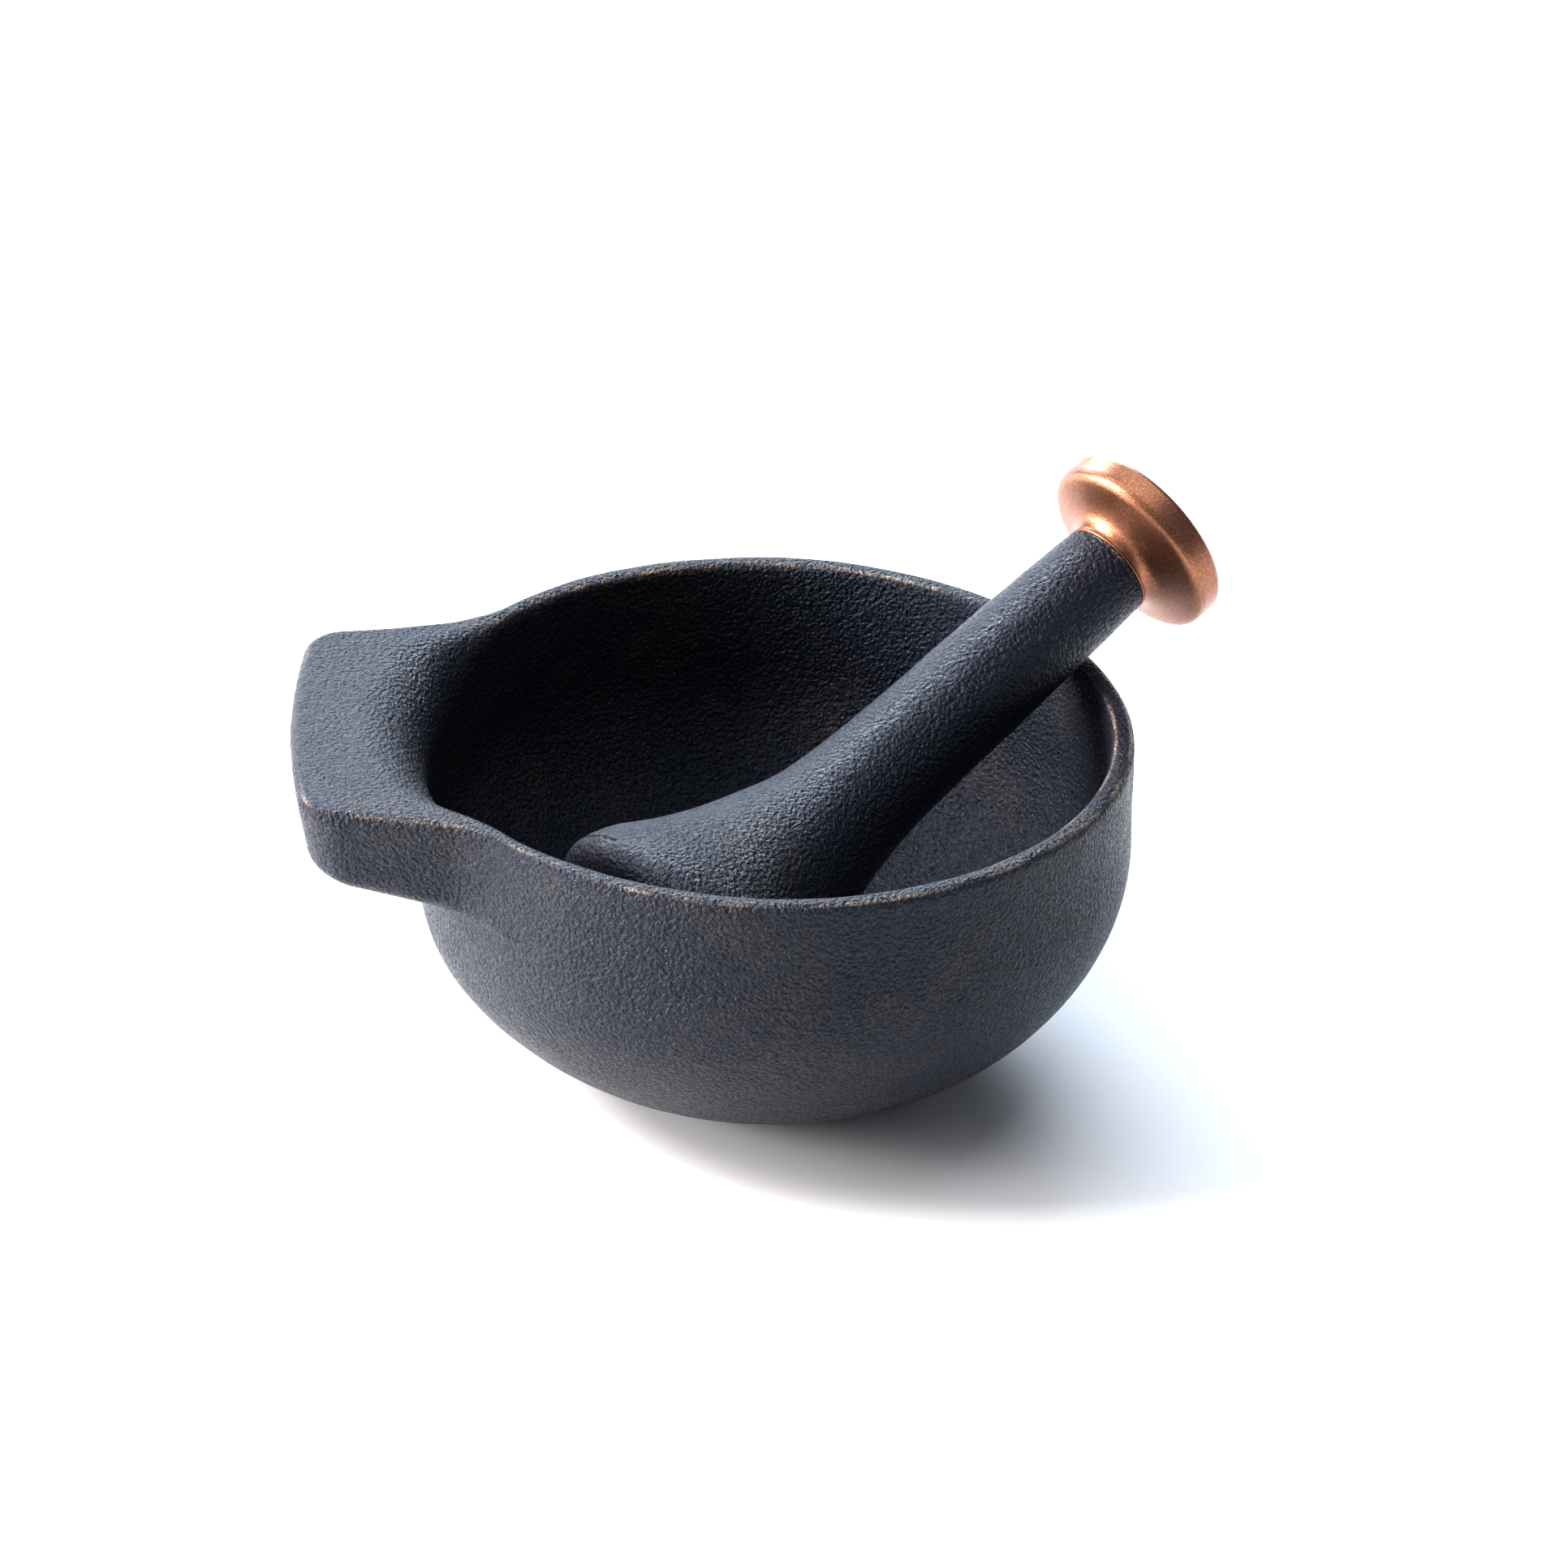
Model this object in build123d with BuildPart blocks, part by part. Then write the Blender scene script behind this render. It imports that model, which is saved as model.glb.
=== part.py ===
"""Cast-iron mortar with a side grip, and a loose pestle with a copper-coloured knob.

Millimetres, +Z up. The origin is the centre of the flat that the mortar stands on.
The grip points towards -X. The pestle leans over the rim, with its foot in the bowl.
"""
import os
from math import asin, cos, degrees, radians, sin, sqrt

from build123d import *

# Bowl
RIM_RADIUS = 75.0
HEIGHT = 75.0
UPRIGHT_WALL = 15.0
STRAIGHT_WALL = 24.3       # the wall starts to turn in this far below the rim
BELLY_RADIUS = 75.25       # outside, at that level
WALL = 4.8                 # at the rim
BASE_SINK = 4.6            # the outer ellipse would end this far below the base flat
FLOOR_TOP = 5.5            # height of the lowest point inside
RIM_OUTER_ROUND = 2.0
RIM_INNER_ROUND = 1.5

# Grip
GRIP_REACH = 98.9          # from the bowl's axis to the middle of the end face
GRIP_END_RADIUS = 240.0
GRIP_END_HALF = 39.4
GRIP_ROOT_X = -50.0
GRIP_ROOT_HALF = 46.8
GRIP_INSIDE_X = -46.0      # the grip ends here, inside the wall
GRIP_CORNER = 7.5
GRIP_BLEND = 20.0
GRIP_END_DEPTH = 16.6      # thickness at the end face
GRIP_UNDER_SLOPE = 10.0    # degrees that the underside falls towards the bowl
GRIP_UNDER_ROUND = 5.0
LIP_CENTRE_X = -35.0       # the rolled lip at the grip turns about this upright line
LIP_ROUND = 13.0

# Pestle, as radius at each distance below the knob
SHAFT_TOP_RADIUS = 10.4
SHAFT_STATIONS = [(17.5, 11.1), (35.5, 11.7), (55.5, 12.2), (73.5, 12.9), (87.5, 14.9),
                  (97.5, 18.0), (106.5, 21.3), (113.5, 24.7), (119.5, 28.3)]
BAND_LENGTH = 8.5
BAND_RADIUS = 31.6
FOOT_ROUND = 4.5
FOOT_DOME = 1.5
SHAFT_END_ROUND = 0.5

# Pestle at rest in the bowl
PESTLE_RISE = 22.55        # degrees that its axis climbs towards the knob
PESTLE_TURN = 41.46        # degrees from +X towards +Y, seen from above
FOOT_X = -18.2             # axis point where the band ends
FOOT_Y = -38.8
FOOT_Z = 42.25

# Knob, as radius at each distance above the pestle's end
NECK_RADIUS = 10.3
NECK_LENGTH = 0.8
NECK_LEAVES = (0.12, 1)    # direction in which the neck starts to flare
FLANGE_RADIUS = 17.6
FLANGE_HEIGHT = 5.4
FLANGE_LEAVES = (1, 0.3)
BAND_FULL = 7.6            # where the outer band reaches its full radius
KNOB_RADIUS = 20.5
KNOB_TOP = 13.2
KNOB_CROWN = 0.6
KNOB_TOP_ROUND = 1.5
CROWN_LEAVES = (-1, 0.05)

# Stud
STUD_RADIUS = 4.0
STUD_IN_KNOB = 9.0
STUD_IN_PESTLE = 14.0
STUD_CHAMFER = 0.6
THREAD_PLAY = 0.05
DRILL_POINT = 1.0

CLEAR = 10.0               # how far cutting shapes reach past what they cut

os.makedirs("parts", exist_ok=True)

# ---------------------------------------------------------------- shared lines
bowl_shoulder = HEIGHT - STRAIGHT_WALL
outer_rise = bowl_shoulder + BASE_SINK
inner_rise = bowl_shoulder - FLOOR_TOP
inner_radius = RIM_RADIUS - WALL
base_angle = -degrees(asin(bowl_shoulder / outer_rise))
base_radius = BELLY_RADIUS * sqrt(1 - (bowl_shoulder / outer_rise) ** 2)
above = HEIGHT + CLEAR

# ---------------------------------------------------------------- grip
end_drop = GRIP_END_RADIUS - sqrt(GRIP_END_RADIUS**2 - GRIP_END_HALF**2)
end_x = end_drop - GRIP_REACH
slope = radians(GRIP_UNDER_SLOPE)

with BuildPart() as grip:
    with BuildSketch(Plane.XY.offset(HEIGHT)) as grip_plan:
        with BuildLine():
            ThreePointArc((end_x, -GRIP_END_HALF), (-GRIP_REACH, 0), (end_x, GRIP_END_HALF))
            Polyline(
                (end_x, GRIP_END_HALF),
                (GRIP_ROOT_X, GRIP_ROOT_HALF),
                (0, GRIP_ROOT_HALF),
                (0, -GRIP_ROOT_HALF),
                (GRIP_ROOT_X, -GRIP_ROOT_HALF),
                (end_x, -GRIP_END_HALF),
            )
        make_face()
        Circle(RIM_RADIUS)
        end_corners = grip_plan.vertices().sort_by(Axis.X)[:2]
        fillet(end_corners, GRIP_CORNER)
        roots = grip_plan.vertices().filter_by_position(Axis.X, -RIM_RADIUS, GRIP_ROOT_X)
        fillet(roots, GRIP_BLEND)
        with Locations((GRIP_INSIDE_X, 0)):
            Rectangle(
                RIM_RADIUS, 2 * RIM_RADIUS, align=(Align.MAX, Align.CENTER), mode=Mode.INTERSECT
            )
    extrude(amount=-HEIGHT)
    underside = Plane(
        origin=(-GRIP_REACH, 0, HEIGHT - GRIP_END_DEPTH),
        z_dir=(sin(slope), 0, cos(slope)),
    )
    split(bisect_by=underside, keep=Keep.TOP)
    under = grip.faces().sort_by(Axis.Z)[0]
    fillet(under.edges(), GRIP_UNDER_ROUND)

# ---------------------------------------------------------------- mortar
with BuildPart() as mortar:
    with BuildSketch(Plane.XZ):
        with BuildLine():
            Line((0, 0), (base_radius, 0))
            EllipticalCenterArc(
                (0, bowl_shoulder), BELLY_RADIUS, outer_rise, base_angle, arc_size=-base_angle
            )
            Line((BELLY_RADIUS, bowl_shoulder), (RIM_RADIUS, HEIGHT - UPRIGHT_WALL))
            Line((RIM_RADIUS, HEIGHT - UPRIGHT_WALL), (RIM_RADIUS, HEIGHT))
            Line((RIM_RADIUS, HEIGHT), (0, HEIGHT))
            Line((0, HEIGHT), (0, 0))
        make_face()
    revolve(axis=Axis.Z)
    add(grip.part)

    # Soft outer edge round the rim and the grip
    top = mortar.faces().sort_by(Axis.Z)[-1]
    fillet(top.outer_wire().edges(), RIM_OUTER_ROUND)

    # Hollow, with its inner edge rounded over
    with BuildSketch(Plane.XZ):
        with BuildLine():
            Line((0, FLOOR_TOP), (0, above))
            Line((0, above), (inner_radius + RIM_INNER_ROUND, above))
            Line((inner_radius + RIM_INNER_ROUND, above), (inner_radius + RIM_INNER_ROUND, HEIGHT))
            CenterArc(
                (inner_radius + RIM_INNER_ROUND, HEIGHT - RIM_INNER_ROUND), RIM_INNER_ROUND, 90, 90
            )
            Line((inner_radius, HEIGHT - RIM_INNER_ROUND), (inner_radius, bowl_shoulder))
            EllipticalCenterArc(
                (0, bowl_shoulder), inner_radius, inner_rise, -90, arc_size=90
            )
        make_face()
    revolve(axis=Axis.Z, mode=Mode.SUBTRACT)

    # Rolled lip where the grip meets the hollow
    lip_radius = inner_radius + LIP_ROUND + LIP_CENTRE_X
    with BuildSketch(Plane.XZ.shift_origin((LIP_CENTRE_X, 0, 0))):
        with BuildLine():
            Line((0, HEIGHT - LIP_ROUND), (0, above))
            Line((0, above), (lip_radius, above))
            Line((lip_radius, above), (lip_radius, HEIGHT))
            CenterArc((lip_radius, HEIGHT - LIP_ROUND), LIP_ROUND, 90, 90)
            Line((lip_radius - LIP_ROUND, HEIGHT - LIP_ROUND), (0, HEIGHT - LIP_ROUND))
        make_face()
    revolve(axis=Axis((LIP_CENTRE_X, 0, 0), (0, 0, 1)), mode=Mode.SUBTRACT)

mortar.part.label = "mortar"

# ---------------------------------------------------------------- pestle
# Drawn upright with its upper end at z = 0, then laid in the bowl.
band_end = SHAFT_STATIONS[-1][0] + BAND_LENGTH
foot_end = band_end + FOOT_ROUND + FOOT_DOME
flat_radius = BAND_RADIUS - FOOT_ROUND
dome_radius = (flat_radius**2 + FOOT_DOME**2) / (2 * FOOT_DOME)
climb = radians(PESTLE_RISE)
turn = radians(PESTLE_TURN)
lean = Vector(cos(climb) * cos(turn), cos(climb) * sin(turn), sin(climb))
upper_end = Vector(FOOT_X, FOOT_Y, FOOT_Z) + lean * band_end
laid = Location(Plane(origin=upper_end, x_dir=(-sin(turn), cos(turn), 0), z_dir=lean))
stud_hole = STUD_RADIUS + THREAD_PLAY

with BuildPart() as pestle:
    with BuildSketch(Plane.XZ):
        with BuildLine():
            Line((0, 0), (SHAFT_TOP_RADIUS - SHAFT_END_ROUND, 0))
            RadiusArc(
                (SHAFT_TOP_RADIUS - SHAFT_END_ROUND, 0),
                (SHAFT_TOP_RADIUS, -SHAFT_END_ROUND),
                SHAFT_END_ROUND,
            )
            Spline(
                (SHAFT_TOP_RADIUS, -SHAFT_END_ROUND),
                *[(radius, -below) for below, radius in SHAFT_STATIONS],
            )
            Line(
                (SHAFT_STATIONS[-1][1], -SHAFT_STATIONS[-1][0]),
                (BAND_RADIUS, -band_end),
            )
            RadiusArc(
                (BAND_RADIUS, -band_end),
                (flat_radius, -band_end - FOOT_ROUND),
                FOOT_ROUND,
            )
            RadiusArc(
                (flat_radius, -band_end - FOOT_ROUND),
                (0, -foot_end),
                dome_radius,
            )
            Line((0, -foot_end), (0, 0))
        make_face()
    revolve(axis=Axis.Z)

    # Hole for the stud
    with BuildSketch(Plane.XY):
        Circle(stud_hole)
    extrude(amount=-STUD_IN_PESTLE - DRILL_POINT, mode=Mode.SUBTRACT)

# ---------------------------------------------------------------- knob
with BuildPart() as knob:
    with BuildSketch(Plane.XZ):
        with BuildLine():
            Line((0, 0), (NECK_RADIUS, 0))
            Line((NECK_RADIUS, 0), (NECK_RADIUS, NECK_LENGTH))
            TangentArc(
                (NECK_RADIUS, NECK_LENGTH),
                (FLANGE_RADIUS, FLANGE_HEIGHT),
                tangent=NECK_LEAVES,
            )
            Spline(
                (FLANGE_RADIUS, FLANGE_HEIGHT),
                (KNOB_RADIUS, BAND_FULL),
                tangents=[FLANGE_LEAVES, (0, 1)],
            )
            Line((KNOB_RADIUS, BAND_FULL), (KNOB_RADIUS, KNOB_TOP - KNOB_TOP_ROUND))
            RadiusArc(
                (KNOB_RADIUS, KNOB_TOP - KNOB_TOP_ROUND),
                (KNOB_RADIUS - KNOB_TOP_ROUND, KNOB_TOP),
                -KNOB_TOP_ROUND,
            )
            Spline(
                (KNOB_RADIUS - KNOB_TOP_ROUND, KNOB_TOP),
                (0, KNOB_TOP + KNOB_CROWN),
                tangents=[CROWN_LEAVES, (-1, 0)],
            )
            Line((0, KNOB_TOP + KNOB_CROWN), (0, 0))
        make_face()
    revolve(axis=Axis.Z)

    # Hole for the stud
    with BuildSketch(Plane.XY):
        Circle(stud_hole)
    extrude(amount=STUD_IN_KNOB + DRILL_POINT, mode=Mode.SUBTRACT)

# ---------------------------------------------------------------- stud
with BuildPart() as stud:
    with BuildSketch(Plane.XY.offset(-STUD_IN_PESTLE)):
        Circle(STUD_RADIUS)
    extrude(amount=STUD_IN_PESTLE + STUD_IN_KNOB)
    chamfer(stud.edges().filter_by(GeomType.CIRCLE), STUD_CHAMFER)

pestle.part = pestle.part.moved(laid)
knob.part = knob.part.moved(laid)
stud.part = stud.part.moved(laid)
pestle.part.label = "pestle"
knob.part.label = "knob"
stud.part.label = "stud"

export_step(mortar.part, "parts/mortar.step")
export_step(pestle.part, "parts/pestle.step")
export_step(knob.part, "parts/knob.step")
export_step(stud.part, "parts/stud.step")
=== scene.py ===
"""Cast-iron mortar with a side grip, and its pestle with a copper-coloured knob."""

import math

import bpy
import numpy as np
from mathutils import Matrix, Vector, noise


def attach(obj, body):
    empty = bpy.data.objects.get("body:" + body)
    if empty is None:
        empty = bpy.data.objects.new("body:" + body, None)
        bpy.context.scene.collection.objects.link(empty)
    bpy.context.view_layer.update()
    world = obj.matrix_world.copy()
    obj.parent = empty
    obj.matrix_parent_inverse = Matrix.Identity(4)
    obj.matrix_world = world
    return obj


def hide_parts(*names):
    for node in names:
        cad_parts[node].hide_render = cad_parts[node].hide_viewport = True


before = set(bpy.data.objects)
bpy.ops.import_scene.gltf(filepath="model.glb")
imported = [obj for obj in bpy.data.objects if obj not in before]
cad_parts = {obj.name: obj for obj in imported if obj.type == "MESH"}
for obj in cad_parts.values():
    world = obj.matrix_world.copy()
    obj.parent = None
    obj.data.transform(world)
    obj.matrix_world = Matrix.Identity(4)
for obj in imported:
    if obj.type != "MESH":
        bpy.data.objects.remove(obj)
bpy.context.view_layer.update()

MM = 0.001
SEED = 7

# ------------------------------------------------------------------ bowl, mm
HEIGHT = 75.0
RIM = 75.0  # outside radius at the rim
WALL = 4.8
UPRIGHT = 15.0  # the wall is upright this far below the rim
SHOULDER = 50.7  # below this height it turns in
BELLY = 75.25
OUTER_DROP = 55.3
FLOOR_TOP = 5.5
INNER = RIM - WALL
INNER_DROP = SHOULDER - FLOOR_TOP
RIM_ROUND = 2.0
BASE_ROUND = 1.5

# ------------------------------------------------------------------ grip, mm
# Angles "off" are in degrees round the bowl, from the middle of the grip.
GRIP_REACH = 98.9
GRIP_ARC = 240.0
GRIP_SIDE_FROM = (-96.0, 39.1)
GRIP_SIDE_TO = (-50.0, 46.8)
GRIP_CORNER = 7.0
GRIP_BLEND = 4.2
GRIP_UNDER = 58.4  # height of the underside at its end; it falls towards the bowl
GRIP_UNDER_SLOPE = math.radians(10)
GRIP_UNDER_ROUND = 4.0
GRIP_CREASE = 1.2
GRIP_END_DRAFT = math.tan(math.radians(11))
GRIP_SIDE_DRAFT = math.tan(math.radians(7))
GRIP_EDGE_EXTRA = 1.0  # its top edge is that much rounder than the rim
GRIP_SINKS = (-62, -38)  # between these x it sinks into the wall
GRIP_SUNK = 2.0
GRIP_INSIDE = 30
THINNED = 2.3  # the wall under the grip is that much thinner
LIP_ROUND = 14.0  # the roll from the grip's top into the bowl
LIP_FADES = (19, 39)
LIP_SIDE_EXTRA = 0.8


# ------------------------------------------------------------------ small maths
def ramp(x, low, high):
    """0 below low, 1 above high, smooth between."""
    t = np.clip((x - low) / (high - low), 0, 1)
    return t * t * (3 - 2 * t)


def round_max(a, b, radius):
    """Intersection of two solids with the edge rounded to radius."""
    outside = np.hypot(np.maximum(a + radius, 0), np.maximum(b + radius, 0))
    return np.minimum(np.maximum(a, b), -radius) + outside


def round_min(a, b, radius):
    """Union of two solids with the inside corner rounded to radius."""
    inside = np.hypot(np.maximum(radius - a, 0), np.maximum(radius - b, 0))
    return np.maximum(np.minimum(a, b), radius) - inside


def bowl_surface(r, z, radius, drop):
    """Distance from an upright wall that turns into half an ellipse below the shoulder."""
    dz = np.minimum(z - SHOULDER, 0)
    k0 = np.hypot(r / radius, dz / drop)
    k1 = np.hypot(r / radius**2, dz / drop**2)
    return (k0 + 1e-9) / (k1 + 1e-9 / radius) * (k0 - 1)


# ------------------------------------------------------------------ mortar
def grip_distance(x, y, z):
    """Signed distance to the grip, with the bowl's disc behind it."""
    sx, sy = GRIP_SIDE_TO[0] - GRIP_SIDE_FROM[0], GRIP_SIDE_TO[1] - GRIP_SIDE_FROM[1]
    depth = HEIGHT - z
    side = sx * (np.abs(y) - GRIP_SIDE_FROM[1]) - sy * (x - GRIP_SIDE_FROM[0])
    side = side / math.hypot(sx, sy) + depth * GRIP_SIDE_DRAFT
    end = np.hypot(x + GRIP_REACH - GRIP_ARC, y) - GRIP_ARC + depth * GRIP_END_DRAFT
    plan = round_min(round_max(end, side, GRIP_CORNER), np.hypot(x, y) - RIM, GRIP_BLEND)
    under = (GRIP_UNDER - z) * math.cos(GRIP_UNDER_SLOPE)
    under = under - (x + GRIP_REACH) * math.sin(GRIP_UNDER_SLOPE)
    grip = round_max(plan, under, GRIP_UNDER_ROUND) + GRIP_SUNK * ramp(x, *GRIP_SINKS)
    return np.maximum(grip, x + GRIP_INSIDE)


def mortar_distance(x, y, z):
    """Signed distance to the casting, near enough close to its surface."""
    r = np.hypot(x, y)
    off = np.degrees(np.arctan2(np.abs(y), -x))
    top = z - HEIGHT
    straight_to = HEIGHT - UPRIGHT
    swell = (BELLY - RIM) * np.clip((straight_to - z) / (straight_to - SHOULDER), 0, 1)
    thin = THINNED * (1 - ramp(off, 28, 60)) * ramp(z, 26, 46)
    wall = bowl_surface(r, z, RIM + swell - thin, OUTER_DROP)
    body = round_min(wall, grip_distance(x, y, z), GRIP_CREASE)
    edge = RIM_ROUND + GRIP_EDGE_EXTRA * ramp(-x, 58, 78)
    solid = np.maximum(round_max(body, top, edge), round_max(body, -z, BASE_ROUND))

    lip = RIM_ROUND + (LIP_ROUND - RIM_ROUND) * (1 - ramp(off, *LIP_FADES))
    lip = lip + LIP_SIDE_EXTRA * ramp(off, 28, 40) * (1 - ramp(off, 40, 60))
    hollow = round_max(-bowl_surface(r, z, INNER, INNER_DROP), top, lip)
    return np.maximum(solid, hollow)


def slope(fn, p, h=0.02):
    """Gradient of fn at each row of p."""
    cols = []
    for k in range(3):
        d = np.zeros(3)
        d[k] = h
        cols.append((fn(*(p + d).T) - fn(*(p - d).T)) / (2 * h))
    return np.stack(cols, -1)


def onto(fn, p, times=3):
    """Moves each row of p onto the zero surface of fn."""
    for _ in range(times):
        g = slope(fn, p)
        p = p - (fn(*p.T) / np.maximum((g**2).sum(1), 0.05))[:, None] * g
    return p


def steps(*runs):
    """Grid lines from (end, spacing) runs, the first entry being the start."""
    out = [runs[0]]
    for end, gap in runs[1:]:
        n = max(1, round((end - out[-1]) / gap))
        out.extend(np.linspace(out[-1], end, n + 1)[1:])
    return np.array(out, float)


def skin_of(fn, radii, angles, heights):
    """Quad mesh of fn's zero surface on a round grid (surface nets)."""
    turn = np.append(angles, angles[0] + 2 * math.pi)
    rr, aa, zz = np.meshgrid(radii, turn, heights, indexing="ij")
    f = fn(rr * np.cos(aa), rr * np.sin(aa), zz)
    f[:, -1] = f[:, 0]
    inside = f < 0
    shape = tuple(n - 1 for n in f.shape)
    total = np.zeros(shape + (3,))
    count = np.zeros(shape)
    grids = (rr, aa, zz)
    crossings = []
    for axis in range(3):
        lo = [slice(None)] * 3
        hi = [slice(None)] * 3
        lo[axis], hi[axis] = slice(0, -1), slice(1, None)
        lo, hi = tuple(lo), tuple(hi)
        cross = inside[lo] != inside[hi]
        gap = f[lo] - f[hi]
        t = np.where(cross, f[lo] / np.where(cross, gap, 1), 0)
        place = [np.where(cross, g[lo] + t * (g[hi] - g[lo]), 0) for g in grids]
        crossings.append((cross, inside[lo]))
        others = [k for k in range(3) if k != axis]
        for u in (0, 1):
            for v in (0, 1):
                pick = [slice(None)] * 3
                for k, w in zip(others, (u, v)):
                    pick[k] = slice(w, shape[k] + w)
                pick = tuple(pick)
                count += cross[pick]
                for k in range(3):
                    total[..., k] += place[k][pick]
    used = count > 0
    index = np.full(shape, -1)
    index[used] = np.arange(used.sum())
    polar = total[used] / count[used][:, None]
    points = np.stack(
        [polar[:, 0] * np.cos(polar[:, 1]), polar[:, 0] * np.sin(polar[:, 1]), polar[:, 2]], -1
    )
    quads = []
    n = shape
    for axis in range(3):
        cross, starts_inside = crossings[axis]
        b, c = (axis + 1) % 3, (axis + 2) % 3
        where = np.argwhere(cross)
        keep = np.ones(len(where), bool)
        for k in (b, c):
            if k != 1:
                keep &= (where[:, k] > 0) & (where[:, k] < n[k])
        keep &= where[:, 1] < n[1]
        where = where[keep]
        ring = []
        for db, dc in ((-1, -1), (0, -1), (0, 0), (-1, 0)):
            cell = where.copy()
            cell[:, b] += db
            cell[:, c] += dc
            cell[:, 1] %= n[1]
            ring.append(index[tuple(cell.T)])
        ring = np.stack(ring, -1)
        outward = starts_inside[tuple(where.T)]
        ring[~outward] = ring[~outward][:, ::-1]
        quads.append(ring)
    quads = np.concatenate(quads)
    quads = quads[(quads >= 0).all(1)]
    return points, quads


def edges_of(quads):
    pairs = np.concatenate([quads[:, [k, (k + 1) % 4]] for k in range(4)])
    return np.unique(np.sort(pairs, 1), axis=0)


def relax(fn, p, quads, times):
    """Evens out the mesh along the surface."""
    pairs = edges_of(quads)
    a, b = pairs.T
    degree = np.bincount(np.concatenate([a, b]), minlength=len(p))
    for _ in range(times):
        mean = np.stack(
            [
                np.bincount(a, p[b, k], len(p)) + np.bincount(b, p[a, k], len(p))
                for k in range(3)
            ],
            -1,
        ) / np.maximum(degree, 1)[:, None]
        g = slope(fn, p)
        g /= np.linalg.norm(g, axis=1)[:, None]
        move = (mean - p) * 0.6
        move -= (move * g).sum(1)[:, None] * g
        p = onto(fn, p + move, 1)
    return p


def close_pole(quads):
    """Closes the two small holes that a round grid leaves on its axis."""
    pairs = np.concatenate([quads[:, [k, (k + 1) % 4]] for k in range(4)])
    seen = set(map(tuple, pairs))
    following = {b: a for a, b in seen if (b, a) not in seen}
    faces = []
    while following:
        start, nxt = following.popitem()
        loop = [start, nxt]
        while nxt in following:
            nxt = following.pop(nxt)
            if nxt != start:
                loop.append(nxt)
        faces.append(loop)
    return faces


def make_object(name, points_mm, faces):
    mesh = bpy.data.meshes.new(name)
    mesh.from_pydata((np.asarray(points_mm) * MM).tolist(), [], [list(map(int, f)) for f in faces])
    mesh.validate()
    mesh.polygons.foreach_set("use_smooth", [True] * len(mesh.polygons))
    obj = bpy.data.objects.new(name, mesh)
    bpy.context.scene.collection.objects.link(obj)
    return obj


def mark(obj, name, values):
    """Stores one number at each vertex, for the material to read."""
    layer = obj.data.attributes.new(name, "FLOAT", "POINT")
    layer.data.foreach_set("value", np.asarray(values, np.float32))


def lumps(points_mm, sizes_and_heights):
    """Smooth unevenness of a sand casting, in mm, at each point."""
    out = np.zeros(len(points_mm))
    for k, (size, height) in enumerate(sizes_and_heights):
        shift = Vector((SEED + 17.3 * k, 3.1 * k, -5.7 * k))
        out += height * np.array([noise.noise(Vector(q) / size + shift) for q in points_mm])
    return out


def columns():
    """Angles of the mesh's columns, closest together where the lip changes fastest."""
    middle, beside = math.radians(19), math.radians(43)
    middle_gap, fine, plain = math.radians(0.9), math.radians(0.5), math.radians(1.2)
    angles = [0.0]
    while angles[-1] < 2 * math.pi - plain / 2:
        off = abs(math.pi - angles[-1])
        gap = middle_gap if off <= middle else fine if off < beside else plain
        angles.append(angles[-1] + gap)
    if angles[-1] > 2 * math.pi - fine:
        angles.pop()
    return np.array(angles)


def bend_of(fn, p, reach=1.3):
    """How sharply the surface turns outward at each row of p."""
    total = -6 * fn(*p.T)
    for k in range(3):
        d = np.zeros(3)
        d[k] = reach
        total = total + fn(*(p + d).T) + fn(*(p - d).T)
    return total / reach**2


def build_mortar():
    radii = steps(0.0, (66, 1.5), (79, 0.55), (88, 1.3), (106, 1.1))
    heights = steps(-1.5, (3, 0.75), (66, 1.45), (76.5, 0.55))
    p, quads = skin_of(mortar_distance, radii, columns(), heights)
    p = onto(mortar_distance, p)
    p = relax(mortar_distance, p, quads, 6)
    caps = close_pole(quads)
    away = slope(mortar_distance, p)
    away /= np.linalg.norm(away, axis=1)[:, None]
    # The edge mark is convex-edge wear kept to rounds tilted about 37 degrees up from level, where
    # the light's bright line falls on rims: partly wear, partly painted highlight.
    crest = np.exp(-(((away[:, 2] - 0.80) / 0.17) ** 2))
    wear_and_highlight = np.clip(bend_of(mortar_distance, p) * 1.8, -1, 1) * crest
    rise = lumps(p, ((26, 0.16), (9, 0.09), (4.2, 0.035)))
    rise *= ramp(p[:, 2], 0.2, 3.0)
    obj = make_object("mortar_casting", p + away * rise[:, None], [*quads, *caps])
    mark(obj, "edge", wear_and_highlight)
    return obj


mortar = build_mortar()

# ------------------------------------------------------------------ turned pieces
# Each is drawn as (radius, height), its axis up, the knob's seat at height 0.
RISE = math.radians(22.55)  # the pestle's axis above level
TURN = math.radians(41.46)  # and from +X towards +Y
FOOT = Vector((-18.2, -38.8, 42.25))  # where the axis passes BAND_END
BAND_START = 119.5
BAND_END = 128.0
SHAFT = 10.4
STATIONS = [(17.5, 11.1), (35.5, 11.7), (55.5, 12.2), (73.5, 12.9), (87.5, 14.9), (97.5, 18.0),
            (106.5, 21.3), (113.5, 24.7), (BAND_START, 28.3)]
HOLE = 4.05
HOLE_IN_PESTLE = 15
HOLE_IN_KNOB = 10
KNOB = 20.5
AROUND = 160

lean = Vector((math.cos(RISE) * math.cos(TURN), math.cos(RISE) * math.sin(TURN), math.sin(RISE)))
side_axis = Vector((-math.sin(TURN), math.cos(TURN), 0))
upper_end = FOOT + lean * BAND_END
laid = Matrix.Identity(4)
for row in range(3):
    laid[row][0] = side_axis[row]
    laid[row][1] = lean.cross(side_axis)[row]
    laid[row][2] = lean[row]
    laid[row][3] = upper_end[row]


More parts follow.
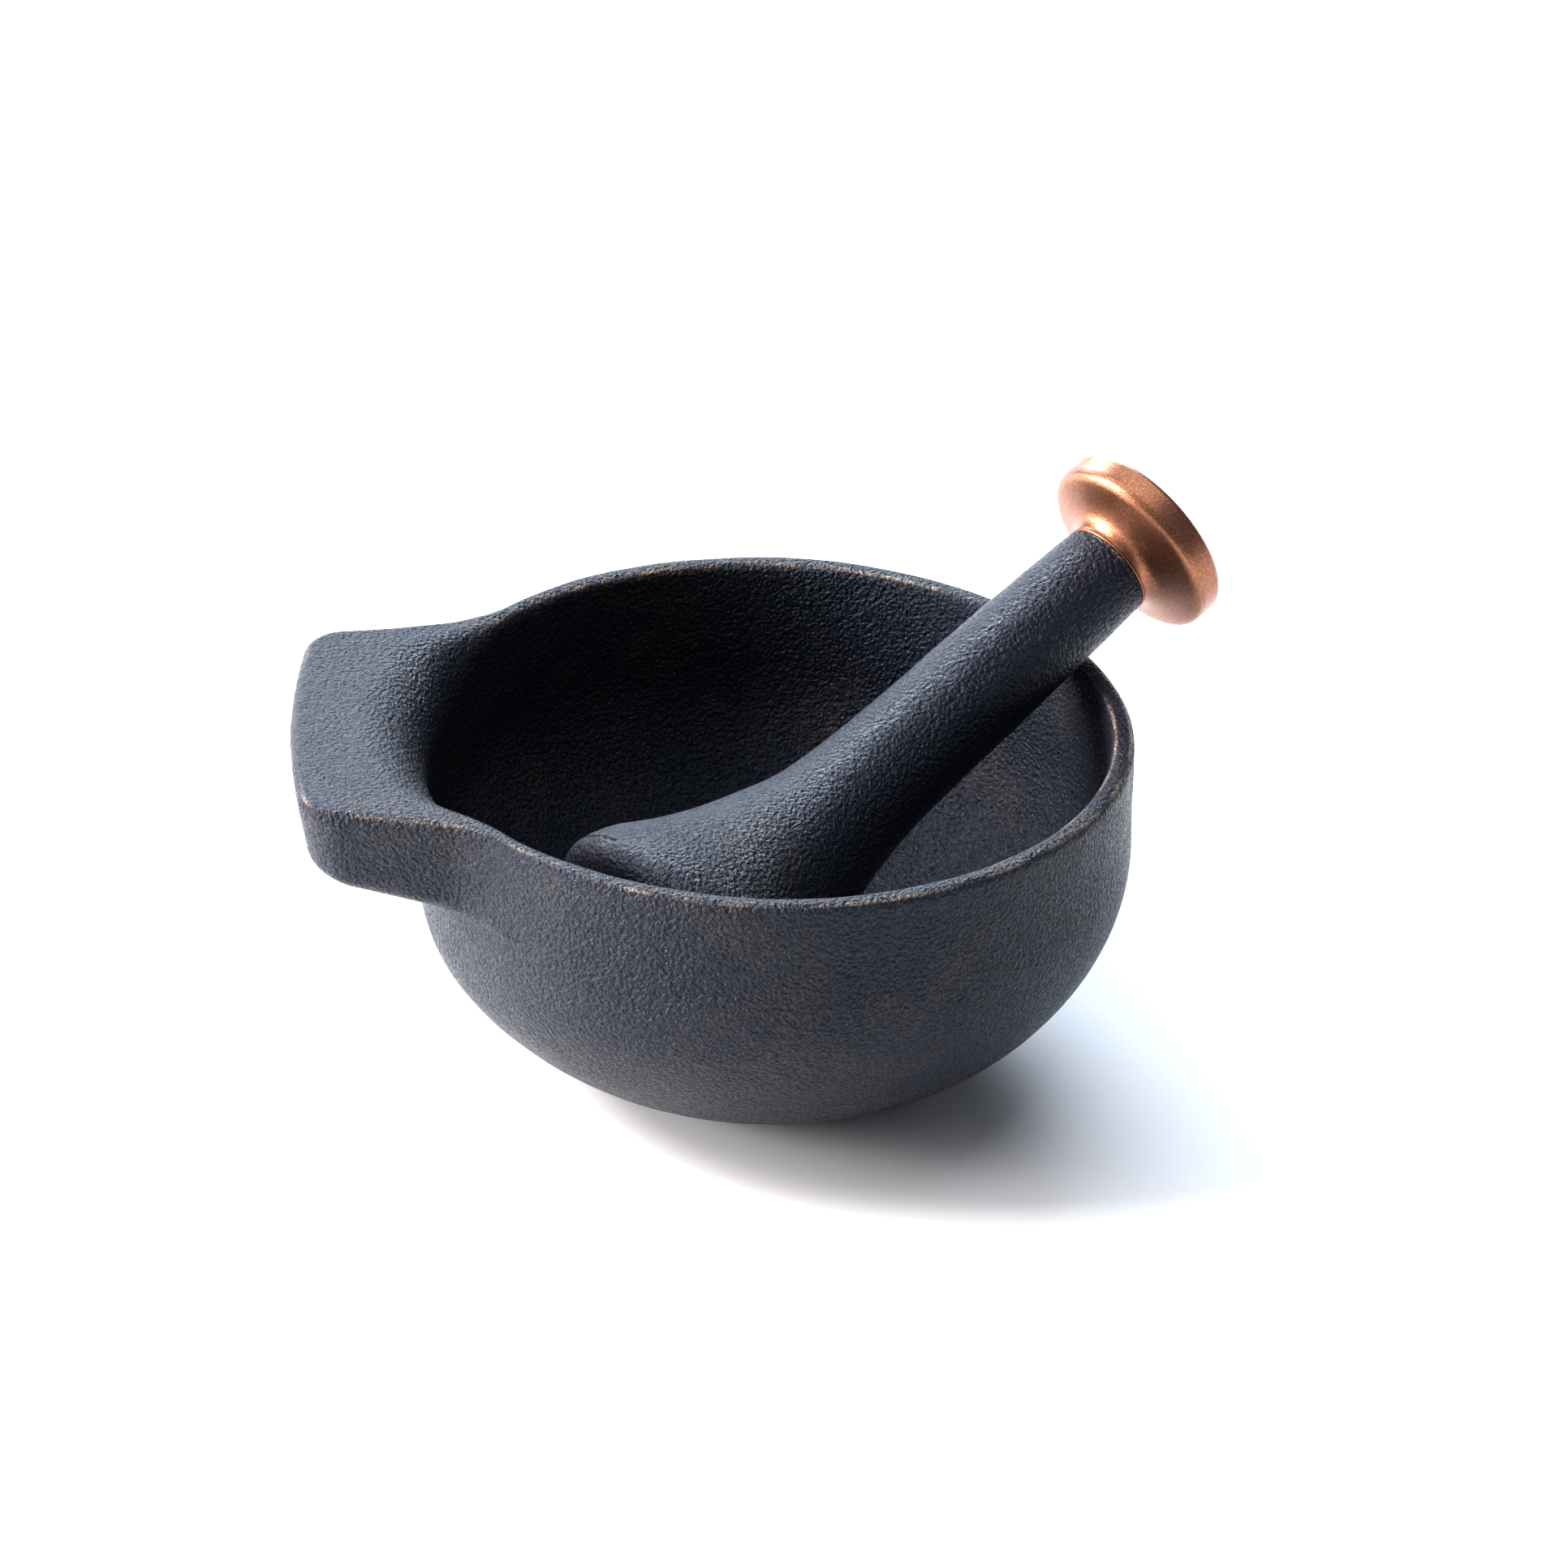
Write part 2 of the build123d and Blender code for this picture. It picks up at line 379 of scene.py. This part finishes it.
def curve_through(points, gap, tension=0.5):
    """Evenly spaced points on a smooth (Catmull-Rom, centripetal) line through points."""
    pts = np.array(points, float)
    first = 2 * pts[0] - pts[1]
    last = 2 * pts[-1] - pts[-2]
    pts = np.vstack([first, pts, last])
    out = []
    for k in range(1, len(pts) - 2):
        p0, p1, p2, p3 = pts[k - 1 : k + 3]
        t0 = 0.0
        t1 = t0 + np.linalg.norm(p1 - p0) ** tension
        t2 = t1 + np.linalg.norm(p2 - p1) ** tension
        t3 = t2 + np.linalg.norm(p3 - p2) ** tension
        n = max(2, int(np.linalg.norm(p2 - p1) / gap))
        for t in np.linspace(t1, t2, n, endpoint=False):
            a1 = (t1 - t) / (t1 - t0) * p0 + (t - t0) / (t1 - t0) * p1
            a2 = (t2 - t) / (t2 - t1) * p1 + (t - t1) / (t2 - t1) * p2
            a3 = (t3 - t) / (t3 - t2) * p2 + (t - t2) / (t3 - t2) * p3
            b1 = (t2 - t) / (t2 - t0) * a1 + (t - t0) / (t2 - t0) * a2
            b2 = (t3 - t) / (t3 - t1) * a2 + (t - t1) / (t3 - t1) * a3
            out.append((t2 - t) / (t2 - t1) * b1 + (t - t1) / (t2 - t1) * b2)
    out.append(pts[-2])
    return np.array(out)


def arc(centre, radius, start, end, n):
    """Points on a circle, angles in degrees from +radius towards +height."""
    a = np.radians(np.linspace(start, end, n))
    return np.stack([centre[0] + radius * np.cos(a), centre[1] + radius * np.sin(a)], -1)


def straight(a, b, gap):
    """Points about gap apart on a straight line."""
    n = max(2, int(math.dist(a, b) / gap) + 1)
    return np.linspace(a, b, n)


def joined(*parts):
    """One outline from several, without doubled points."""
    rows = np.vstack(parts)
    keep = np.ones(len(rows), bool)
    keep[1:] = np.linalg.norm(np.diff(rows, axis=0), axis=1) > 1e-4
    return rows[keep]


def skin_faces(rows, around, low, high):
    """Faces of a tube of rows rings, closed to the points low and high."""
    faces = []
    last = (rows - 1) * around
    for j in range(around):
        k = (j + 1) % around
        faces.append([low, k, j])
        for i in range(0, last, around):
            faces.append([i + j, i + k, i + around + k, i + around + j])
        faces.append([high, last + j, last + k])
    return faces


def spun(profile):
    """Turns a (radius, height) line that starts and ends on the axis into a closed skin."""
    ring = profile[1:-1]
    angle = np.linspace(0, 2 * math.pi, AROUND, endpoint=False)
    body = np.stack(
        [
            np.outer(ring[:, 0], np.cos(angle)),
            np.outer(ring[:, 0], np.sin(angle)),
            np.repeat(ring[:, 1][:, None], AROUND, 1),
        ],
        -1,
    ).reshape(-1, 3)
    points = np.vstack([body, (0, 0, profile[0, 1]), (0, 0, profile[-1, 1])])
    return points, skin_faces(len(ring), AROUND, len(body), len(body) + 1)


def lay(points):
    """Moves points from the drawing's axis to the pestle's place in the bowl."""
    m = np.array(laid)
    return points @ m[:3, :3].T + m[:3, 3]


def normals_of(points, faces):
    """Outward direction at each point."""
    mesh = bpy.data.meshes.new("scratch")
    mesh.from_pydata(points.tolist(), [], faces)
    out = np.zeros(len(points) * 3)
    mesh.vertices.foreach_get("normal", out)
    bpy.data.meshes.remove(mesh)
    return out.reshape(-1, 3)


def build_pestle():
    flank = curve_through([(SHAFT, -0.6)] + [(r, -s) for s, r in STATIONS], 1.0)[::-1]
    dome = curve_through([(0, -134.0), (7, -133.9), (14, -133.6), (21, -133.1), (26.2, -132.4)],
                         0.9)
    corner = arc((27.1, -BAND_END), 4.45, -78, 4, 12)
    band = curve_through([(31.54, -127.7), (31.0, -125.4), (30.1, -122.9), (29.1, -120.7),
                          (28.3, -BAND_START)], 0.7)
    mouth = HOLE + 0.4
    top = joined(arc((SHAFT - 0.5, -0.5), 0.5, 0, 90, 6),
                 straight((SHAFT - 0.5, 0), (mouth, 0), 0.8))
    hole = joined(straight((mouth, 0), (HOLE, -0.4), 0.3),
                  straight((HOLE, -0.4), (HOLE, -HOLE_IN_PESTLE), 1.2),
                  straight((HOLE, -HOLE_IN_PESTLE), (0, -HOLE_IN_PESTLE - 0.8), 1.0))
    points, faces = spun(joined(dome, corner, band, flank, top, hole))
    away = normals_of(points, faces)
    rise = lumps(points, ((22, 0.20), (8, 0.10), (4, 0.04)))
    inside = (np.hypot(points[:, 0], points[:, 1]) < SHAFT - 0.5) & (points[:, 2] > -20)
    rise[inside] = 0
    rise *= 1 - 0.9 * ramp(points[:, 2], -4, 0)
    obj = make_object("pestle_casting", lay(points + away * rise[:, None]), faces)
    s = -points[:, 2]
    # Rings at the band's edges and the shaft's top edge: edge wear, drawn in the bright colour
    # that also serves as a painted highlight.
    wear_and_highlight = np.exp(-((s - BAND_START) / 2.2) ** 2) * 0.4
    wear_and_highlight += np.exp(-((s - BAND_END - 1) / 3.0) ** 2) * 0.45
    wear_and_highlight += np.exp(-((s - 0.3) / 0.8) ** 2) * 0.7
    mark(obj, "edge", np.clip(wear_and_highlight, 0, 1))
    return obj


def build_knob():
    mouth = HOLE + 0.4
    hole = joined(straight((0, HOLE_IN_KNOB + 0.8), (HOLE, HOLE_IN_KNOB), 1.0),
                  straight((HOLE, HOLE_IN_KNOB), (HOLE, 0.4), 1.0),
                  straight((HOLE, 0.4), (mouth, 0), 0.3))
    neck = joined(straight((mouth, 0), (10.1, 0), 0.8), arc((10.15, 0.3), 0.3, -90, 60, 6),
                  curve_through([(10.28, 0.6), (10.3, 1.1), (10.7, 2.0), (11.7, 3.0),
                                 (13.5, 3.95), (15.8, 4.75), (17.7, 5.35), (19.2, 5.95),
                                 (20.15, 6.75), (20.45, 7.8)], 0.25))
    band = joined(straight((KNOB, 8.1), (KNOB, 11.7), 0.4), arc((KNOB - 1.5, 11.7), 1.5, 0, 80, 9),
                  curve_through([(18.7, 13.2), (14, 13.55), (8, 13.75), (0, 13.8)], 0.8))
    points, faces = spun(joined(hole, neck, band))
    return make_object("knob_disc", lay(points), faces)


def build_stud():
    """Threaded rod, M8 by 1.25, with turned-down ends."""
    pitch, depth, crest, core = 1.25, 0.62, 3.97, 3.1
    around, rows = 96, 200
    low, high = -14.0, 9.0
    z = np.linspace(low, high, rows)
    a = np.linspace(0, 2 * math.pi, around, endpoint=False)
    zz, aa = np.meshgrid(z, a, indexing="ij")
    phase = (zz / pitch - aa / (2 * math.pi)) % 1.0
    ridge = np.clip(np.abs(phase - 0.5) * 2.5 - 0.12, 0, 1)
    r = crest - depth * (1 - ridge)
    fade = np.minimum(ramp(zz, low, low + 1.2), 1 - ramp(zz, high - 1.2, high))
    r = np.minimum(r, core + (crest - core) * fade)
    points = np.stack([r * np.cos(aa), r * np.sin(aa), zz], -1).reshape(-1, 3)
    points = np.vstack([points, (0, 0, low), (0, 0, high)])
    faces = skin_faces(rows, around, rows * around, rows * around + 1)
    return make_object("stud_thread", lay(points), faces)


pestle = build_pestle()
knob = build_knob()
stud = build_stud()


# ------------------------------------------------------------------ materials
class Nodes:
    """Short names for building a material."""

    def __init__(self, name):
        self.material = bpy.data.materials.new(name)
        self.material.use_nodes = True
        self.tree = self.material.node_tree
        self.tree.nodes.clear()
        out = self.add("ShaderNodeOutputMaterial")
        self.shader = self.add("ShaderNodeBsdfPrincipled")
        self.join(self.shader.outputs[0], out.inputs["Surface"])
        turned = self.add("ShaderNodeMapping")
        turned.inputs["Rotation"].default_value = (0.43, 0.71, 0.29)
        turned.inputs["Location"].default_value = (0.013, 0.037, 0.021)
        self.join(self.add("ShaderNodeTexCoord").outputs["Object"], turned.inputs["Vector"])
        self.place = turned.outputs["Vector"]

    def add(self, kind, **settings):
        node = self.tree.nodes.new(kind)
        for key, value in settings.items():
            setattr(node, key, value)
        return node

    def join(self, a, b):
        self.tree.links.new(a, b)

    def feed(self, socket, value):
        if isinstance(value, bpy.types.NodeSocket):
            self.join(value, socket)
        else:
            socket.default_value = value

    def noise(self, scale, detail=2.0, rough=0.5):
        n = self.add("ShaderNodeTexNoise")
        self.join(self.place, n.inputs["Vector"])
        n.inputs["Scale"].default_value = scale
        n.inputs["Detail"].default_value = detail
        n.inputs["Roughness"].default_value = rough
        return n.outputs["Fac"]

    def cells(self, scale):
        n = self.add("ShaderNodeTexVoronoi")
        self.join(self.place, n.inputs["Vector"])
        n.inputs["Scale"].default_value = scale
        return n.outputs["Distance"]

    def fit(self, value, a, b, c=0.0, d=1.0, smooth=True):
        """Maps a..b to c..d and stops at both ends."""
        n = self.add("ShaderNodeMapRange", interpolation_type="SMOOTHSTEP" if smooth else "LINEAR")
        self.feed(n.inputs["Value"], value)
        for key, number in zip(("From Min", "From Max", "To Min", "To Max"), (a, b, c, d)):
            n.inputs[key].default_value = number
        return n.outputs["Result"]

    def math(self, kind, a, b=0.0):
        n = self.add("ShaderNodeMath", operation=kind)
        self.feed(n.inputs[0], a)
        self.feed(n.inputs[1], b)
        return n.outputs[0]

    def mix(self, amount, a, b):
        n = self.add("ShaderNodeMix", data_type="RGBA")
        self.feed(n.inputs[0], amount)
        self.feed(n.inputs[6], a)
        self.feed(n.inputs[7], b)
        return n.outputs[2]

    def attribute(self, name):
        return self.add("ShaderNodeAttribute", attribute_name=name).outputs["Fac"]

    def bump(self, height, strength, distance, after=None):
        n = self.add("ShaderNodeBump")
        n.inputs["Strength"].default_value = strength
        n.inputs["Distance"].default_value = distance
        self.join(height, n.inputs["Height"])
        if after is not None:
            self.join(after, n.inputs["Normal"])
        return n.outputs["Normal"]


def rgb(r, g, b):
    return (r, g, b, 1.0)


IRON_HOLLOW = rgb(0.0018, 0.0024, 0.0060)
IRON_HOLLOW_WARM = rgb(0.0085, 0.0058, 0.0056)
IRON_CREST = rgb(0.0075, 0.0098, 0.0205)
IRON_CREST_WARM = rgb(0.033, 0.0235, 0.0215)
# Painted glint colour for the tops of the grain.
IRON_GRAIN_GLINT_PAINT = rgb(0.048, 0.038, 0.035)
# Edge colour: wear, and also a painted highlight along rims and edges.
IRON_WEAR_AND_HIGHLIGHT = rgb(0.34, 0.265, 0.215)
IRON_GLOSS_TINT = rgb(0.72, 0.83, 1.0)
COPPER_DEEP = rgb(0.27, 0.098, 0.050)
COPPER = rgb(0.32, 0.128, 0.071)
COPPER_DUST = rgb(0.70, 0.42, 0.29)
COPPER_FLECK = rgb(0.95, 0.75, 0.62)
STEEL_DARK = rgb(0.50, 0.50, 0.51)
STEEL = rgb(0.66, 0.66, 0.67)
PAPER = rgb(0.90, 0.905, 0.93)
PAPER_PALE = rgb(0.91, 0.915, 0.94)


def iron_material(name, warmth):
    """Oiled cast iron: blue-black with brown patches, a sandy grain with painted glints on its
    tops, and edges whose wear colour is also a painted highlight.
    """
    m = Nodes(name)
    patches = m.noise(31, 5.0, 0.62)
    small_patches = m.noise(90, 3.0, 0.6)
    grain = m.noise(1150, 2.0, 0.6)
    fleck = m.fit(m.noise(1700, 1.0, 0.5), 0.36, 0.64)
    dust = m.noise(2600, 2.0, 0.6)

    warm = m.fit(patches, 0.47 - warmth, 0.68 - warmth, 0.0, 0.7)
    warm = m.math("MULTIPLY", warm, m.fit(small_patches, 0.35, 0.65, 0.3, 1.0))
    hollows = m.mix(warm, IRON_HOLLOW, IRON_HOLLOW_WARM)
    crests = m.mix(warm, IRON_CREST, IRON_CREST_WARM)
    base = m.mix(fleck, hollows, crests)
    # Painted highlight: the tops of the bumped grain are coloured lighter, standing in for light
    # glinting on them.
    grain_glints_painted = m.math("MULTIPLY", m.fit(grain, 0.54, 0.70, 0.0, 0.6), m.fit(warm, 0.0, 0.6, 0.2, 1.0))
    base = m.mix(grain_glints_painted, base, IRON_GRAIN_GLINT_PAINT)
    rubbed = m.fit(small_patches, 0.42, 0.64, 0.1, 1.0)
    # Edge wear in a bright tan that also serves as a painted highlight line along the rims and
    # edges.
    wear_and_highlight = m.math("MULTIPLY", m.fit(m.attribute("edge"), 0.30, 0.9), rubbed)
    wear_and_highlight = m.math("MULTIPLY", wear_and_highlight, m.fit(dust, 0.42, 0.62, 0.05, 1.0))
    base = m.mix(wear_and_highlight, base, IRON_WEAR_AND_HIGHLIGHT)
    m.join(base, m.shader.inputs["Base Color"])
    dull = m.fit(fleck, 0.0, 1.0, 0.56, 0.28, smooth=False)
    dull = m.math("ADD", dull, m.fit(small_patches, 0.3, 0.7, -0.02, 0.05))
    m.join(dull, m.shader.inputs["Roughness"])
    m.shader.inputs["Specular IOR Level"].default_value = 0.27
    m.shader.inputs["Specular Tint"].default_value = IRON_GLOSS_TINT

    normal = m.bump(m.noise(320, 2.0, 0.5), 0.5, 0.0003)
    normal = m.bump(m.fit(m.cells(900), 0.0, 0.7), 0.6, 0.00035, normal)
    normal = m.bump(grain, 1.0, 0.0010, normal)
    normal = m.bump(dust, 0.5, 0.00025, normal)
    m.join(normal, m.shader.inputs["Normal"])
    return m.material


def copper_material():
    """Satin copper finish with fine bright flecks."""
    m = Nodes("knob_copper")
    cloud = m.noise(60, 3.0, 0.6)
    fine = m.noise(2600, 2.0, 0.6)
    base = m.mix(m.fit(cloud, 0.3, 0.7), COPPER_DEEP, COPPER)
    base = m.mix(m.fit(fine, 0.45, 0.7, 0.0, 0.35), base, COPPER_DUST)
    base = m.mix(m.fit(m.cells(1500), 0.10, 0.0, 0.0, 0.6), base, COPPER_FLECK)
    m.join(base, m.shader.inputs["Base Color"])
    m.shader.inputs["Metallic"].default_value = 1.0
    m.join(m.fit(cloud, 0.3, 0.7, 0.35, 0.41), m.shader.inputs["Roughness"])
    m.join(m.bump(fine, 0.35, 0.00012), m.shader.inputs["Normal"])
    return m.material


def steel_material():
    m = Nodes("stud_steel")
    wave = m.noise(400, 2.0, 0.5)
    m.join(m.mix(wave, STEEL_DARK, STEEL), m.shader.inputs["Base Color"])
    m.shader.inputs["Metallic"].default_value = 1.0
    m.join(m.fit(wave, 0.3, 0.7, 0.25, 0.4), m.shader.inputs["Roughness"])
    return m.material


mortar.data.materials.append(iron_material("mortar_iron", 0.03))
pestle.data.materials.append(iron_material("pestle_iron", 0.0))
knob.data.materials.append(copper_material())
stud.data.materials.append(steel_material())

for piece, body, node, slot in (
    (mortar, "mortar_body", "mortar", "mortar_iron"),
    (pestle, "pestle_body", "pestle", "pestle_iron"),
    (knob, "pestle_body", "knob", "knob_copper"),
    (stud, "pestle_body", "stud", "stud_steel"),
):
    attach(piece, body)
    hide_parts(node)


# ------------------------------------------------------------------ floor, light, camera
def build_floor():
    size = 6.0
    mesh = bpy.data.meshes.new("floor")
    corners = [(-size, -size, 0), (size, -size, 0), (size, size, 0), (-size, size, 0)]
    mesh.from_pydata(corners, [], [(0, 1, 2, 3)])
    obj = bpy.data.objects.new("floor", mesh)
    bpy.context.scene.collection.objects.link(obj)
    m = Nodes("floor_paper")
    tone = m.noise(3, 2.0, 0.5)
    m.join(m.mix(tone, PAPER, PAPER_PALE), m.shader.inputs["Base Color"])
    m.shader.inputs["Roughness"].default_value = 0.7
    m.shader.inputs["Specular IOR Level"].default_value = 0.2
    mesh.materials.append(m.material)
    return obj


def area_light(name, place, size, power, colour):
    data = bpy.data.lights.new(name, "AREA")
    data.shape = "RECTANGLE"
    data.size, data.size_y = size
    data.energy = power
    data.color = colour
    obj = bpy.data.objects.new(name, data)
    obj.location = place
    obj.rotation_mode = "QUATERNION"
    obj.rotation_quaternion = (LIGHTS_AIM - Vector(place)).to_track_quat("-Z", "Y")
    bpy.context.scene.collection.objects.link(obj)


LIGHTS_AIM = Vector((0.0, 0.0, 0.05))
WARM_WHITE = (1.0, 0.945, 0.90)
WARM_PALE = (1.0, 0.945, 0.91)
SKY = (0.76, 0.87, 1.0)
COOL_WHITE = (0.93, 0.96, 1.0)

build_floor()
area_light("key_left", (-1.12, 0.00, 0.98), (0.6, 0.6), 48.0, WARM_WHITE)
area_light("side_left", (-1.50, -0.02, 0.32), (0.7, 0.5), 46.0, WARM_PALE)
area_light("back_softbox", (-0.30, 1.85, 0.98), (1.7, 0.8), 92.0, SKY)
area_light("top_softbox", (0.1, 0.2, 2.0), (1.7, 1.7), 21.0, COOL_WHITE)

world = bpy.data.worlds.new("studio")
world.use_nodes = True
world.node_tree.nodes["Background"].inputs["Color"].default_value = (0.86, 0.91, 1.0, 1.0)
world.node_tree.nodes["Background"].inputs["Strength"].default_value = 0.20
bpy.context.scene.world = world
bpy.context.scene.view_settings.view_transform = "Standard"


def build_camera():
    """A long lens, a little left of straight ahead and 29 degrees above the floor."""
    rise = math.radians(29.19)
    turn = math.radians(-2.2)
    roll = math.radians(1.84)
    distance = 2.087
    level = math.cos(rise)
    back = Vector((math.sin(turn) * level, -math.cos(turn) * level, math.sin(rise)))
    right = Vector((math.cos(turn), math.sin(turn), 0))
    up = back.cross(right)
    right, up = (
        right * math.cos(roll) + up * math.sin(roll),
        up * math.cos(roll) - right * math.sin(roll),
    )
    aim = Vector((0.0032, -0.0001, 0.0612))
    data = bpy.data.cameras.new("camera")
    data.sensor_width = 36.0
    data.lens = 232.6
    data.clip_start, data.clip_end = 0.05, 50
    obj = bpy.data.objects.new("camera", data)
    m = Matrix.Identity(4)
    place = aim + back * distance
    for row in range(3):
        m[row][0], m[row][1], m[row][2], m[row][3] = right[row], up[row], back[row], place[row]
    obj.matrix_world = m
    bpy.context.scene.collection.objects.link(obj)
    bpy.context.scene.camera = obj


build_camera()
